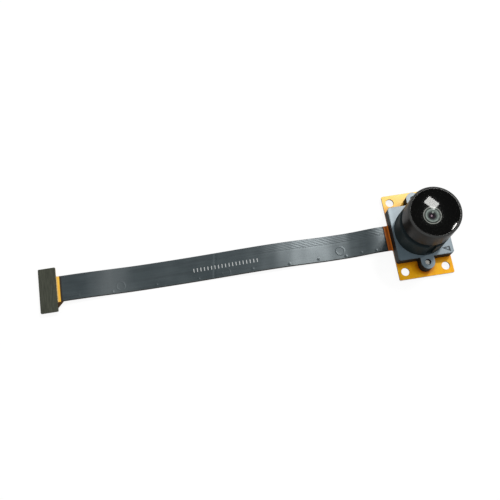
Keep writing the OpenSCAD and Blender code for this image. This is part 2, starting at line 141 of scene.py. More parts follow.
def rounded(corners, steps=5):
    """A line past corners (r, z, radius), each replaced by a curve that touches both of its sides.

    The curve is (1 - t)^2 start + 2 t (1 - t) corner + t^2 end, where start and end lie a radius
    from the corner, or just short of half its side where that is less.
    """
    corners = np.asarray(corners, float)
    line = [corners[0, :2]]
    for before, here, after in zip(corners[:-2], corners[1:-1], corners[2:]):
        if here[2] == 0:
            line.append(here[:2])
            continue
        to_before, to_after = before[:2] - here[:2], after[:2] - here[:2]
        reach = min(here[2], 0.49 * np.hypot(*to_before), 0.49 * np.hypot(*to_after))
        start = here[:2] + to_before / np.hypot(*to_before) * reach
        end = here[:2] + to_after / np.hypot(*to_after) * reach
        t = np.linspace(0, 1, steps + 1)[:, None]
        line.extend((1 - t) ** 2 * start + 2 * t * (1 - t) * here[:2] + t ** 2 * end)
    line.append(corners[-1, :2])
    return np.array(line)


def lathe(name, profile, turns=160, closed=False, ripple=None):
    """The surface r(s), z(s) turned about the Z axis: x = r cos a, y = r sin a.

    ripple(r, z, a) may add to the radius. A closed profile gives a ring. An open one starts and ends
    on the axis.
    """
    profile = np.asarray(profile, float)
    a = np.arange(turns) * TAU / turns
    r = np.repeat(profile[:, :1], turns, axis=1)
    z = np.repeat(profile[:, 1:2], turns, axis=1)
    a = np.repeat(a[None], len(profile), axis=0)
    if ripple is not None:
        r = r + ripple(r, z, a)
    points = np.stack([r * np.cos(a), r * np.sin(a), z], axis=-1).reshape(-1, 3)
    return put_mesh(name, points, grid_faces(len(profile), turns, wrap_rows=closed, wrap_columns=True))


def cap(radius, rise, z, steps):
    """Profile of a spherical cap, from the axis out to radius: it stands rise above z at the axis.

    Its height above z is sqrt(b^2 - r^2) - (b - |rise|) on a ball of radius
    b = (radius^2 + rise^2) / (2 |rise|), with the sign of rise.
    """
    ball = (radius ** 2 + rise ** 2) / (2 * abs(rise))
    r = np.linspace(0, radius, steps)
    height = np.sqrt(ball ** 2 - r ** 2) - (ball - abs(rise))
    return np.stack([r, z + np.sign(rise) * height], axis=1)


def cut_out(piece, cutter):
    """Takes one closed piece's solid out of another's mesh and throws the cutter away."""
    carve = piece.modifiers.new("carve", "BOOLEAN")
    carve.operation = "DIFFERENCE"
    carve.solver = "EXACT"
    carve.object = cutter
    result = piece.evaluated_get(bpy.context.evaluated_depsgraph_get())
    carved = bpy.data.meshes.new_from_object(result)
    piece.modifiers.clear()
    piece.data = carved
    bpy.data.objects.remove(cutter)


def plate(name, outline, low, high):
    """A flat plate: a closed outline (x, y) carried straight up from one height to another."""
    outline = np.asarray(outline, float)
    n = len(outline)
    loops = [np.column_stack([outline, np.full(n, z)]) for z in (low, high)]
    return put_mesh(name, np.concatenate(loops), tube_faces(2, n))


def softened(node, width, segments=3, cutter=None):
    """A merged copy of a CAD node with its flat faces joined up and its edges over 30 degrees rounded.

    A cutter, if given, is taken out of it first.
    """
    source = frame["nodes"][node]
    mesh = source.data.copy()
    mesh.name = node + "_piece"
    mesh.materials.clear()
    work = bmesh.new()
    work.from_mesh(mesh)
    bmesh.ops.remove_doubles(work, verts=work.verts, dist=2e-6)
    bmesh.ops.dissolve_limit(work, angle_limit=math.radians(0.5), verts=work.verts, edges=work.edges)
    work.to_mesh(mesh)
    work.free()
    mesh.shade_smooth()
    piece = bpy.data.objects.new(node + "_piece", mesh)
    scene.collection.objects.link(piece)
    if cutter is not None:
        cut_out(piece, cutter)
    bevel = piece.modifiers.new("rounding", "BEVEL")
    bevel.width = width * MM
    bevel.segments = segments
    bevel.limit_method = "ANGLE"
    bevel.angle_limit = math.radians(30)
    bevel.use_clamp_overlap = True
    flatten = piece.modifiers.new("flat_faces", "WEIGHTED_NORMAL")
    flatten.weight = 80
    return piece


# ---------------------------------------------------------------- materials


class Finish:
    """A material and short ways to add nodes to it. Patterns read Object coordinates, in millimetres."""

    def __init__(self, name):
        self.material = bpy.data.materials.new(name)
        self.material.use_nodes = True
        self.tree = self.material.node_tree
        self.tree.nodes.clear()
        self.out = self.node("ShaderNodeOutputMaterial")
        place = self.node("ShaderNodeTexCoord")
        scale = self.node("ShaderNodeMapping")
        self.join(place.outputs["Object"], scale.inputs["Vector"])
        scale.inputs["Scale"].default_value = (1 / MM,) * 3
        self.place = scale.outputs["Vector"]

    def node(self, kind, **settings):
        """A new node of a kind, with its settings."""
        made = self.tree.nodes.new(kind)
        for key, value in settings.items():
            setattr(made, key, value)
        return made

    def join(self, source, target):
        """Links an output to a socket."""
        self.tree.links.new(source, target)

    def feed(self, socket, value):
        """Links a socket to a node's output, or sets it to a plain value."""
        if isinstance(value, bpy.types.NodeSocket):
            self.join(value, socket)
        elif isinstance(value, tuple) and socket.type == "RGBA":
            socket.default_value = (*value, 1)
        else:
            socket.default_value = value

    def math(self, operation, a, b=0.0):
        """One step of arithmetic on numbers or outputs."""
        made = self.node("ShaderNodeMath", operation=operation)
        self.feed(made.inputs[0], a)
        self.feed(made.inputs[1], b)
        return made.outputs[0]

    def noise(self, scale, detail=3.0, rough=0.5, stretch=(1, 1, 1)):
        """Cloudy noise of 0 to 1, finer with scale, drawn out along an axis whose stretch is small."""
        move = self.node("ShaderNodeMapping")
        self.join(self.place, move.inputs["Vector"])
        move.inputs["Scale"].default_value = stretch
        made = self.node("ShaderNodeTexNoise")
        self.join(move.outputs["Vector"], made.inputs["Vector"])
        made.inputs["Scale"].default_value = scale
        made.inputs["Detail"].default_value = detail
        made.inputs["Roughness"].default_value = rough
        return made.outputs["Fac"]

    def axis(self, name):
        """The place along X, Y or Z in millimetres."""
        split = self.node("ShaderNodeSeparateXYZ")
        self.join(self.place, split.inputs[0])
        return split.outputs[name]

    def distance(self, x0, y0):
        """Distance in plan from a line parallel to the lens axis."""
        x = self.math("SUBTRACT", self.axis("X"), x0)
        y = self.math("SUBTRACT", self.axis("Y"), y0)
        squares = self.math("ADD", self.math("MULTIPLY", x, x), self.math("MULTIPLY", y, y))
        return self.math("SQRT", squares)

    def facing_up(self):
        """How far the surface faces up: 1 for a flat top, 0 for a wall, -1 for an underside."""
        split = self.node("ShaderNodeSeparateXYZ")
        self.join(self.node("ShaderNodeNewGeometry").outputs["Normal"], split.inputs[0])
        return split.outputs["Z"]

    def ramp(self, factor, stops):
        """Colours (place, colour) joined by straight steps."""
        made = self.node("ShaderNodeValToRGB")
        marks = made.color_ramp.elements
        while len(marks) < len(stops):
            marks.new(0.5)
        for mark, (place, colour) in zip(marks, sorted(stops)):
            mark.position = place
            mark.color = (*colour, 1)
        self.feed(made.inputs[0], factor)
        return made.outputs[0]

    def blend(self, factor, a, b):
        """Colour a where factor is 0 and colour b where it is 1."""
        made = self.node("ShaderNodeMix", data_type="RGBA")
        self.feed(made.inputs[0], factor)
        self.feed(made.inputs[6], a)
        self.feed(made.inputs[7], b)
        return made.outputs[2]

    def span(self, value, low, high, to_low=0.0, to_high=1.0):
        """A value's way from low to high, carried over to to_low to to_high and held there outside."""
        made = self.node("ShaderNodeMapRange")
        for socket, v in zip(made.inputs, (value, low, high, to_low, to_high)):
            self.feed(socket, v)
        return made.outputs[0]

    def bump(self, height, distance, strength):
        """Relief of height 0 to 1 over a distance in millimetres."""
        made = self.node("ShaderNodeBump")
        made.inputs["Strength"].default_value = strength
        made.inputs["Distance"].default_value = distance * MM
        self.feed(made.inputs["Height"], height)
        return made.outputs[0]

    def surface(self, **sockets):
        """The Principled shader with these sockets, joined to the output."""
        shader = self.node("ShaderNodeBsdfPrincipled")
        for key, value in sockets.items():
            self.feed(shader.inputs[key.replace("_", " ")], value)
        self.join(shader.outputs[0], self.out.inputs[0])
        return shader

    def mix(self, factor, first, second):
        """Two shaders mixed by factor and joined to the output."""
        both = self.node("ShaderNodeMixShader")
        self.feed(both.inputs[0], factor)
        self.join(first.outputs[0], both.inputs[1])
        self.join(second.outputs[0], both.inputs[2])
        self.join(both.outputs[0], self.out.inputs[0])


def amber_circuit():
    """Glossy amber film over copper, painted paler at its far end as a painted sheen.

    It has a cloudy depth, faint tracks and a slight ripple. Round the foot of the block it is painted
    brown, a painted shadow and reflection of the holder, and darker still beside the near ear.
    """
    f = Finish("amber_circuit")
    cloud = f.noise(0.35, 4, 0.55)
    tracks = f.noise(1.6, 1, 0.5, stretch=(1, 0.12, 1))
    colour = f.blend(f.span(cloud, 0.35, 0.65), (0.93, 0.42, 0.006), (1.0, 0.52, 0.010))
    colour = f.blend(f.span(tracks, 0.5, 0.62, 0, 0.25), colour, (0.78, 0.28, 0.005))
    # Painted sheen: the film is painted paler towards its far end.
    colour = f.blend(f.span(f.axis("Y"), 8.5, 10.5, 0, 0.5), colour, (1.0, 0.66, 0.13))
    x, y = f.math("ABSOLUTE", f.axis("X")), f.math("ABSOLUTE", f.axis("Y"))
    beside = f.math("SUBTRACT", f.math("MAXIMUM", x, y), BLOCK_HALF)
    ear = f.math("SUBTRACT", f.distance(0, -EAR_Y), EAR_R)
    # Painted shadow and reflection: brown painted round the foot of the block and of the near ear.
    painted_foot_shade = f.span(f.math("MINIMUM", beside, ear), 0.0, 1.9, 0.8, 0)
    colour = f.blend(painted_foot_shade, colour, (0.66, 0.205, 0.004))
    # Painted shadow: darker brown painted beside the near ear.
    colour = f.blend(f.span(ear, 0.0, 1.0, 0.7, 0), colour, (0.30, 0.045, 0.002))
    f.surface(Base_Color=colour, Roughness=f.span(cloud, 0.3, 0.7, 0.20, 0.24), Specular_IOR_Level=0.14,
              Specular_Tint=(1.0, 0.93, 0.62), Normal=f.bump(f.noise(0.9, 3), 0.004, 0.2))
    return f.material


def amber_neck():
    """The same film, bare and bent, in painted shade: darker red-brown, with painted light and shade in
    bands, painted lighter at its root.
    """
    f = Finish("amber_neck")
    bands = f.noise(2.2, 2, 0.5, stretch=(1, 0.03, 1))
    # Painted shade: a darker copy of the board's amber, with bands of painted light and shade across the
    # bends.
    colour = f.blend(f.span(bands, 0.38, 0.62), (0.30, 0.064, 0.009), (0.54, 0.140, 0.012))
    # Painted light: lighter at the root, by the board's edge.
    colour = f.blend(f.span(f.axis("X"), -8.45, -8.1, 0, 1.0), colour, (1.0, 0.27, 0.015))
    f.surface(Base_Color=colour, Roughness=f.span(bands, 0.3, 0.7, 0.25, 0.35), Specular_IOR_Level=0.3,
              Normal=f.bump(bands, 0.02, 0.3))
    return f.material


def amber_tail():
    """The bare end of the circuit: amber painted brighter as a painted sheen, a painted highlight beside the
    pad, a painted shadow by the film and dark in its flare.
    """
    f = Finish("amber_tail")
    cloud = f.noise(0.9, 3)
    x, y = f.axis("X"), f.axis("Y")
    # Painted sheen: a brighter, paler amber than the board's.
    colour = f.blend(f.span(cloud, 0.35, 0.65), (0.93, 0.48, 0.045), (1.0, 0.60, 0.075))
    # Painted highlight: a pale strip beside the pad.
    colour = f.blend(f.span(x, -106.1, -105.85, 0.75, 0), colour, (0.85, 0.62, 0.30))
    # Painted shadow: a dark band by the film's edge.
    colour = f.blend(f.span(x, -105.40, -105.28), colour, (0.13, 0.060, 0.010))
    colour = f.blend(f.span(y, -3.85, -3.7, 1, 0), colour, (0.060, 0.032, 0.012))
    f.surface(Base_Color=colour, Roughness=f.span(cloud, 0.3, 0.7, 0.3, 0.4), Specular_IOR_Level=0.3,
              Normal=f.bump(cloud, 0.01, 0.3))
    return f.material


def stiffener():
    """Glass-epoxy laminate: dark brown with the woven cloth showing at its sawn edges."""
    f = Finish("stiffener")
    layers = f.noise(9, 2, 0.5, stretch=(0.15, 0.15, 1))
    colour = f.blend(f.span(layers, 0.4, 0.6), (0.060, 0.034, 0.014), (0.13, 0.075, 0.030))
    f.surface(Base_Color=colour, Roughness=f.span(layers, 0.3, 0.7, 0.5, 0.7),
              Normal=f.bump(layers, 0.02, 0.4))
    return f.material


def holder_plastic():
    """Fine matt moulded plastic: near black, with painted slate-grey light and a stronger sheen on faces that
    look up.

    The collar's wall is painted slightly lighter and bluer as a painted reflection, its rim keeps little of
    the painted top light as painted shade under the lens, and the block's top has a painted sheen along one
    edge.
    """
    f = Finish("holder_plastic")
    grain = f.noise(14, 3, 0.6)
    cloud = f.noise(0.5, 3)
    above_block = f.span(f.axis("Z"), BLOCK_TOP + 0.15, BLOCK_TOP + 0.35)
    # Painted shade: the collar's rim keeps little of the painted top light, shaded by the lens head.
    rim = f.math("MULTIPLY", above_block, f.span(f.distance(0, 0), 7.52, 7.58, 1, 0))
    # Painted light: faces that look up take a lighter slate-grey base than the walls.
    painted_top_light = f.math("MULTIPLY", f.span(f.facing_up(), 0.5, 0.9), f.span(rim, 0, 1, 1, 0.10))
    wall = f.blend(f.span(cloud, 0.3, 0.7), (0.008, 0.008, 0.008), (0.013, 0.013, 0.012))
    # Painted reflection: the collar's wall is painted slightly lighter and bluer.
    collar = f.span(f.axis("Z"), BLOCK_TOP - 0.05, BLOCK_TOP + 0.25, 0, 0.8)
    wall = f.blend(collar, wall, (0.010, 0.017, 0.018))
    # Painted light: the lighter base of faces that look up.
    flat = f.blend(f.span(cloud, 0.3, 0.7), (0.120, 0.168, 0.200), (0.148, 0.202, 0.238))
    # Painted sheen: the block's top is painted lighter along one edge.
    painted_sheen = f.math("MULTIPLY", f.span(f.axis("X"), -7.8, -6.6, 0.8, 0), f.span(f.axis("Y"), 0.5, 3.0))
    flat = f.blend(painted_sheen, flat, (0.30, 0.38, 0.42))
    relief = f.bump(grain, 0.003, 0.25)
    dull = f.surface(Base_Color=wall, Roughness=f.span(grain, 0.3, 0.7, 0.50, 0.58),
                     Specular_IOR_Level=0.06, Normal=relief)
    painted_top_shader = f.surface(Base_Color=flat, Roughness=f.span(grain, 0.3, 0.7, 0.31, 0.35),
                      Specular_IOR_Level=0.62, Specular_Tint=(0.90, 0.97, 1.0), Normal=relief)
    f.mix(painted_top_light, dull, painted_top_shader)
    return f.material


def barrel_black():
    """Black anodised aluminium with fine turning lines round the axis, painted greyer as painted light on
    faces that look up, such as the sloping bezel.
    """
    f = Finish("barrel_black")
    lines = f.noise(11, 2, 0.6, stretch=(0.02, 0.02, 1))
    cloud = f.noise(0.6, 3)
    colour = f.blend(f.span(cloud, 0.3, 0.7), (0.008, 0.007, 0.006), (0.014, 0.012, 0.010))
    # Painted light: faces that look up are painted greyer.
    colour = f.blend(f.span(f.facing_up(), 0.15, 0.4), colour, (0.052, 0.053, 0.052))
    f.surface(Base_Color=colour, Roughness=f.span(lines, 0.3, 0.7, 0.30, 0.38), Specular_IOR_Level=0.04,
              Normal=f.bump(lines, 0.003, 0.25))
    return f.material


def ring_black():
    """Matt black lacquer on the rings inside the lens."""
    f = Finish("ring_black")
    grain = f.noise(10, 2)
    colour = f.blend(f.span(grain, 0.3, 0.7), (0.0016, 0.0018, 0.0018), (0.0030, 0.0032, 0.0030))
    f.surface(Base_Color=colour, Roughness=f.span(grain, 0.3, 0.7, 0.6, 0.8), Specular_IOR_Level=0.05,
              Normal=f.bump(grain, 0.004, 0.3))
    return f.material


def clear_glass(name, tint, roughness, index):
    """Thin coated glass: light goes straight through, and its coating mirrors what is round it.

    The mirror is stronger for a higher index and at a glancing angle, and faint on the inner side.
    """
    f = Finish(name)
    smear = f.noise(0.7, 2)
    through = f.node("ShaderNodeBsdfTransparent")
    f.feed(through.inputs[0], f.blend(f.span(smear, 0.3, 0.7), tint, tuple(0.97 * c for c in tint)))
    mirror = f.node("ShaderNodeBsdfGlossy")
    f.feed(mirror.inputs["Color"], (1.0, 1.0, 0.97))
    f.feed(mirror.inputs["Roughness"], f.span(smear, 0.3, 0.7, roughness, roughness * 1.3))
    grazing = f.node("ShaderNodeFresnel")
    grazing.inputs["IOR"].default_value = index
    inner_side = f.node("ShaderNodeNewGeometry").outputs["Backfacing"]
    inner_mirror = 0.02
    f.mix(f.span(inner_side, 0, 1, grazing.outputs[0], inner_mirror), through, mirror)
    return f.material


def pupil_glass():
    """The rear group seen down the lens: grey coated rings round a dark violet pupil with two painted
    highlights.
    """
    f = Finish("pupil_glass")
    coated_r = 3.0
    reach = f.math("DIVIDE", f.distance(0, 0), coated_r)
    stops = [(0.0, (0.040, 0.020, 0.038)), (0.20, (0.045, 0.028, 0.044)), (0.30, (0.070, 0.064, 0.070)),
             (0.38, (0.20, 0.22, 0.215)), (0.47, (0.48, 0.55, 0.53)), (0.53, (0.82, 0.90, 0.86)),
             (0.59, (0.84, 0.92, 0.88)), (0.63, (0.34, 0.38, 0.36)), (0.68, (0.09, 0.10, 0.095)),
             (0.74, (0.14, 0.15, 0.145)), (0.77, (0.80, 0.78, 0.74)), (0.81, (0.96, 0.94, 0.90)),
             (0.83, (0.24, 0.24, 0.23)), (0.85, (0.004, 0.004, 0.004))]
    colour = f.ramp(reach, stops)
    colour = f.blend(f.span(f.noise(1.2, 2), 0.3, 0.7, 0, 0.35), colour, (0.0, 0.0, 0.0))
    # Painted highlights: two small reflections of the lamp, painted as coloured spots.
    painted_highlights = [((-0.06, 0.08), (0.95, 0.66, 0.82)), ((0.42, 0.98), (0.80, 0.86, 0.82))]
    for place, highlight_colour in painted_highlights:
        colour = f.blend(f.span(f.distance(*place), 0.10, 0.34, 1, 0), colour, highlight_colour)
    dish = f.span(reach, 0.58, 0.62, 0.05, 0.55)
    f.surface(Base_Color=colour, Roughness=dish, Specular_IOR_Level=0.10)
    return f.material


def ribbon_film():
    """Satin black shielding film with a fine grain, faint streaks and a row of plain white ticks.

    It has painted shadow at its ends and along its lower edge, and a painted sheen near the connector.
    """
    f = Finish("ribbon_film")
    grain = f.noise(7, 3, 0.6)
    cloud = f.noise(0.25, 4, 0.55, stretch=(0.5, 1, 1))
    streak = f.noise(1.6, 2, 0.5, stretch=(0.04, 1, 1))
    colour = f.blend(f.span(cloud, 0.35, 0.65), (0.042, 0.056, 0.062), (0.056, 0.072, 0.078))
    colour = f.blend(f.span(streak, 0.45, 0.65, 0, 0.4), colour, (0.030, 0.038, 0.042))
    x, y = f.axis("X"), f.axis("Y")
    # Painted shadow: darker at both ends of the film and along its lower edge.
    ends = f.math("ADD", f.span(x, -104.85, -104.70, 1, 0), f.span(x, -9.8, -9.7))
    painted_edge_shade = f.math("MINIMUM", f.math("ADD", ends, f.span(y, -3.62, -3.45, 1, 0)), 1.0)
    # Painted sheen: the film is painted paler near the connector.
    painted_sheen = f.math("MULTIPLY", f.span(x, -98, -91), f.span(x, -91, -84, 1, 0))
    painted_sheen = f.math("MULTIPLY", painted_sheen, f.span(grain, 0.3, 0.7, 0.6, 1.0))
    colour = f.blend(painted_sheen, colour, (0.110, 0.125, 0.130))
    tick_half_pitch = 0.52
    tick_half_width = 0.12
    tick = f.math("LESS_THAN", f.math("PINGPONG", x, tick_half_pitch), tick_half_width)
    line = f.math("MULTIPLY", f.span(x, -67.0, -66.9), f.span(x, -47.2, -47.1, 1, 0))
    band = f.math("MULTIPLY", f.span(y, -0.96, -0.92), f.span(y, 0.14, 0.18, 1, 0))
    upper_side = f.math("GREATER_THAN", f.facing_up(), 0.0)
    ink = f.math("MULTIPLY", f.math("MULTIPLY", tick, upper_side), f.math("MULTIPLY", line, band))
    colour = f.blend(f.math("MULTIPLY", ink, 0.8), colour, (0.62, 0.63, 0.62))
    # Painted shadow at the ends and the lower edge.
    colour = f.blend(painted_edge_shade, colour, (0.016, 0.011, 0.007))
    rough = f.math("ADD", f.span(grain, 0.3, 0.7, 0.33, 0.38), f.span(painted_edge_shade, 0, 1, 0, 0.35))
    f.surface(Base_Color=colour, Roughness=rough, Specular_IOR_Level=0.72,
              Specular_Tint=(0.88, 0.97, 1.0), Normal=f.bump(grain, 0.006, 0.25))
    return f.material


def backing_plate():
    """Dull dark laminate with faint rubbed streaks."""
    f = Finish("backing_plate")
    streak = f.noise(2.4, 3, 0.6, stretch=(1, 0.12, 1))
    grain = f.noise(9, 2)
    colour = f.blend(f.span(streak, 0.35, 0.7), (0.041, 0.045, 0.031), (0.069, 0.074, 0.053))
    f.surface(Base_Color=colour, Roughness=f.span(grain, 0.3, 0.7, 0.45, 0.6), Specular_IOR_Level=0.35,
              Normal=f.bump(grain, 0.01, 0.3))
    return f.material


def plain_finish(name, dark, light, rough, metallic=0.0, scale=5.0, specular=0.5):
    """A colour that wanders between two tones, with its own grain in roughness and relief."""
    f = Finish(name)
    grain = f.noise(scale, 3, 0.55)
    cloud = f.noise(scale * 0.15, 3)
    colour = f.blend(f.span(cloud, 0.3, 0.7), dark, light)
    f.surface(Base_Color=colour, Metallic=metallic,
              Roughness=f.span(grain, 0.3, 0.7, rough * 0.9, rough * 1.15),
              Specular_IOR_Level=specular, Normal=f.bump(grain, 0.005, 0.4))
    return f.material


FINISHES = {
    "amber_circuit": amber_circuit(),
    "amber_neck": amber_neck(),
    "amber_tail": amber_tail(),
    "stiffener": stiffener(),
    "holder_plastic": holder_plastic(),
    "barrel_black": barrel_black(),
    "ring_black": ring_black(),
    "front_glass": clear_glass("front_glass", (0.97, 0.985, 0.975), 0.035, 3.2),
    "pupil_glass": pupil_glass(),
    "ribbon_film": ribbon_film(),
    "backing_plate": backing_plate(),
    "lens_glass": clear_glass("lens_glass", (0.90, 0.94, 0.93), 0.03, 1.25),
    "cover_glass": clear_glass("cover_glass", (0.93, 0.96, 0.96), 0.03, 1.3),
    "filter_glass": clear_glass("filter_glass", (0.80, 0.92, 0.95), 0.03, 1.3),
    # Pale plated steel, partly painted light: lifted near white so the screw tip in the ear's shaded hole
    # reads bright.
    "screw_steel": plain_finish("screw_steel", (0.88, 0.87, 0.80), (0.97, 0.96, 0.90), 0.40, scale=8),
    "sensor_ceramic": plain_finish("sensor_ceramic", (0.04, 0.04, 0.036), (0.06, 0.06, 0.055), 0.65),
    "silicon": plain_finish("silicon", (0.05, 0.06, 0.09), (0.10, 0.10, 0.14), 0.15, 0.6),
    "capacitor": plain_finish("capacitor", (0.32, 0.20, 0.11), (0.42, 0.28, 0.17), 0.5),
    "chip_body": plain_finish("chip_body", (0.012, 0.012, 0.012), (0.025, 0.025, 0.025), 0.55),
    "connector_plastic": plain_finish("connector_plastic", (0.50, 0.47, 0.39), (0.60, 0.57, 0.48), 0.5),
    # Painted shade: the mark's strokes are the holder's own plastic, painted darker than the block's lit top.
    "mark_grey": plain_finish("mark_grey", (0.035, 0.047, 0.054), (0.050, 0.065, 0.074), 0.5,
                              specular=0.3),
    "contact_gold": plain_finish("contact_gold", (0.75, 0.50, 0.16), (0.88, 0.64, 0.26), 0.25, 1.0),
}


def finish(piece, name, body="head", replaces=()):
    """Gives a piece its material and body, and hides the CAD nodes that it stands for."""
    piece.data.materials.clear()
    piece.data.materials.append(FINISHES[name])
    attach(piece, body)
    if replaces:
        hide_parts(*replaces)
    return piece


# ---------------------------------------------------------------- ribbon

# Route of the ribbon's middle, as (x, z), the same points as in the part's source
RIBBON_ROUTE = np.array([
    (-9.45, 1.475), (-12, 1.4), (-14, 1.18), (-16, 0.82), (-18, 0.47), (-20, 0.22), (-22, 0.12),
    (-24, 0.1), (-27, 0.15), (-30, 0.36), (-34, 0.75), (-38, 1.08), (-42, 1.25), (-46, 1.27),
    (-50, 1.15), (-55, 0.9), (-60, 0.6), (-65, 0.34), (-70, 0.17), (-75, 0.1), (-80, 0.1),
    (-84, 0.2), (-88, 0.48), (-92, 0.86), (-96, 1.21), (-100, 1.46), (-105.15, 1.575)])
RIBBON_WIDTH = 7.64
RIBBON_HALF_WIDTH = RIBBON_WIDTH / 2
RIBBON_HALF_T = 0.1
RIBBON_EDGE = 0.05


def smooth_line(line, at):
    """Height of a smooth line at each place in at.

    Between two points it is the cubic that meets both with the slopes there, worked out from the
    points on either side.
    """
    x, z = line[::-1, 0], line[::-1, 1]
    slope = np.gradient(z, x)
    i = np.clip(np.searchsorted(x, at) - 1, 0, len(x) - 2)
    step = x[i + 1] - x[i]
    t = (at - x[i]) / step
    return ((2 * t ** 3 - 3 * t ** 2 + 1) * z[i] + (t ** 3 - 2 * t ** 2 + t) * step * slope[i]
            + (3 * t ** 2 - 2 * t ** 3) * z[i + 1] + (t ** 3 - t ** 2) * step * slope[i + 1])


def bell(distance, width):
    """e to the minus (distance / width)^2: 1 in the middle, falling to nothing about two widths away."""
    return np.exp(-(distance / width) ** 2)


def gate(value, low, high, soft):
    """1 between low and high and 0 outside, with edges soft wide."""
    return 0.25 * (1 + np.tanh((value - low) / soft)) * (1 + np.tanh((high - value) / soft))


# Round pads and small vias of the circuit that show through the film, as (x, y) and as x
PAD_RINGS = [(-88.1, -1.65), (-57.3, -2.5), (-23.2, -1.2)]
VIA_PLACES = [-100.2, -90.5, -77.8, -65.4, -49.5, -38.7, -30.0, -21.8, -17.2, -12.9]


def film_relief(x, y):
    """Height of the film above its flat: slight waves, round pads, vias, tracks, long lines and a crease.

    Waves: two sines, mostly along x. A pad: a bell on its rim and a slight plateau inside. A via: a bell.
    The tracks slant over the third at high y as amount * sin(2 pi (y + 0.5 x) / 0.85) and end on a
    long groove. The lines are low bells in y. The crease is a groove across the whole width.
    """
    relief = 0.010 * np.sin(x * TAU / 11.3 + 0.5 * y) + 0.008 * np.sin(x * TAU / 4.7 - 0.35 * y + 1.2)
    for px, py in PAD_RINGS:
        reach = np.hypot(x - px, y - py)
        relief += 0.032 * bell(reach - 1.2, 0.14) + 0.008 * gate(reach, -1, 1.15, 0.1)
    for i, px in enumerate(VIA_PLACES):
        relief += 0.075 * bell(np.hypot(x - px, y + 2.7 + 0.3 * (i % 2)), 0.30)
    amount = 0.009 * (0.7 + 0.3 * np.sin(x / 2.9)) * gate(x, -46, -9.9, 2)
    relief += amount * np.sin(TAU * (y + 0.5 * x) / 0.85) * gate(y, 1.45, 3.5, 0.12)
    relief -= 0.014 * bell(y - 1.3, 0.12) * gate(x, -58, -9.9, 0.5)
    for py in (2.2, 2.75, 3.25):
        relief += 0.006 * bell(y - py - 0.02 * (x + 88), 0.10) * gate(x, -99, -74, 1)
    relief -= 0.05 * bell(x + 60.35 - 0.17 * y, 0.42)
    return relief


def ribbon():
    """The film-covered ribbon: a flat section with round edges carried along the route.

    Its points are route(x) + h * up(x) at y, where up is square to the route and h is the section's
    height, to which the film's relief is added on the top.
    """
    x = np.linspace(RIBBON_ROUTE[-1, 0], RIBBON_ROUTE[0, 0], 860)
    z = smooth_line(RIBBON_ROUTE, x)
    slope = np.gradient(z, x)
    up = np.stack([-slope, np.ones_like(slope)]) / np.hypot(slope, 1)
    half, t, edge = RIBBON_HALF_WIDTH, RIBBON_HALF_T, RIBBON_EDGE
    top_count, under_count = 80, 12
    turn = np.linspace(0, math.pi, 7)[1:-1]
    top = np.linspace(-half + edge, half - edge, top_count)
    under = np.linspace(half - edge, -half + edge, under_count)
    bulge = edge * np.sin(turn)
    y = np.concatenate([top, half - edge + bulge, under, -half + edge - bulge])
    h = np.concatenate([np.full(top_count, t), t * np.cos(turn), np.full(under_count, -t), -t * np.cos(turn)])
    lift = np.zeros((len(x), len(y)))
    inside = gate(top, -half + 0.12, half - 0.12, 0.05)
    lift[:, :top_count] = film_relief(x[:, None], top[None]) * inside[None]
    h = h[None] + lift
    along = x[:, None] + up[0][:, None] * h
    height = z[:, None] + up[1][:, None] * h
    points = np.stack([along, np.broadcast_to(y, h.shape), height], axis=-1)
    return put_mesh("ribbon", points.reshape(-1, 3), tube_faces(*h.shape), 50)


def neck():
    """The bare neck: a sheet from the board's edge to just under the film, with bend lines across its top.

    At a distance u from the board its half-width is that of the ribbon plus f - sqrt(f^2 - (f - u)^2),
    a quarter circle of radius f, as far as u < f.
    """
    low, high = node_box("flex_neck")
    board_edge, film_edge = high[0], low[0]
    flare = NECK_FILLET
    under_film = 0.15
    u = np.linspace(0, board_edge - film_edge + under_film, 60)
    x = board_edge - u
    rise = np.clip(flare - u, 0, None)
    half = RIBBON_HALF_WIDTH + flare - np.sqrt(flare ** 2 - rise ** 2)
    v = np.linspace(-1, 1, 40)
    lift = 0.018 * np.sin(u * TAU / 0.52 + 0.6) * gate(u, 0.15, 1.45, 0.08)
    y = half[:, None] * v[None]
    top = high[2] + lift[:, None] + 0 * y
    under = low[2] + 0 * y
    xs = np.broadcast_to(x[:, None], y.shape)
    upper = np.stack([xs, y, top], axis=-1)
    lower = np.stack([xs, y, under], axis=-1)
    loop = np.concatenate([upper, lower[:, ::-1]], axis=1)
    return put_mesh("ribbon_neck", loop.reshape(-1, 3), tube_faces(*loop.shape[:2]), 35)


def tail():
    """The bare end: the connector's pad, a throat as wide as the ribbon and a slanting flare on one side."""
    low, high = node_box("flex_tail")
    pad_edge = node_box("connector_backing")[1][0]
    half, corner = RIBBON_HALF_WIDTH, 0.3
    outline = rounded([
        (pad_edge - 2, low[1], 0), (pad_edge, low[1], corner), (pad_edge, -half - PAD_FLARE, 0),
        (pad_edge + PAD_FLARE, -half, 0), (high[0], -half, 0), (high[0], half, 0), (pad_edge, half, corner),
        (pad_edge, high[1], corner), (low[0], high[1], corner), (low[0], low[1], corner),
        (pad_edge - 2, low[1], 0)])
    return plate("ribbon_tail", outline[:-1], low[2], high[2])


ribbon_piece = finish(ribbon(), "ribbon_film", replaces=["flex_ribbon"])
neck_piece = finish(neck(), "amber_neck", replaces=["flex_neck"])
tail_piece = finish(tail(), "amber_tail", replaces=["flex_tail"])
backing_piece = finish(softened("connector_backing", 0.06), "backing_plate", replaces=["connector_backing"])
housing_piece = finish(softened("connector_housing", 0.03, 2), "connector_plastic",
                       replaces=["connector_housing"])

# ---------------------------------------------------------------- board and holder

finish(softened("flex_board", 0.03, 2), "amber_circuit", replaces=["flex_board"])
finish(softened("board_stiffener", 0.04, 2), "stiffener", replaces=["board_stiffener"])


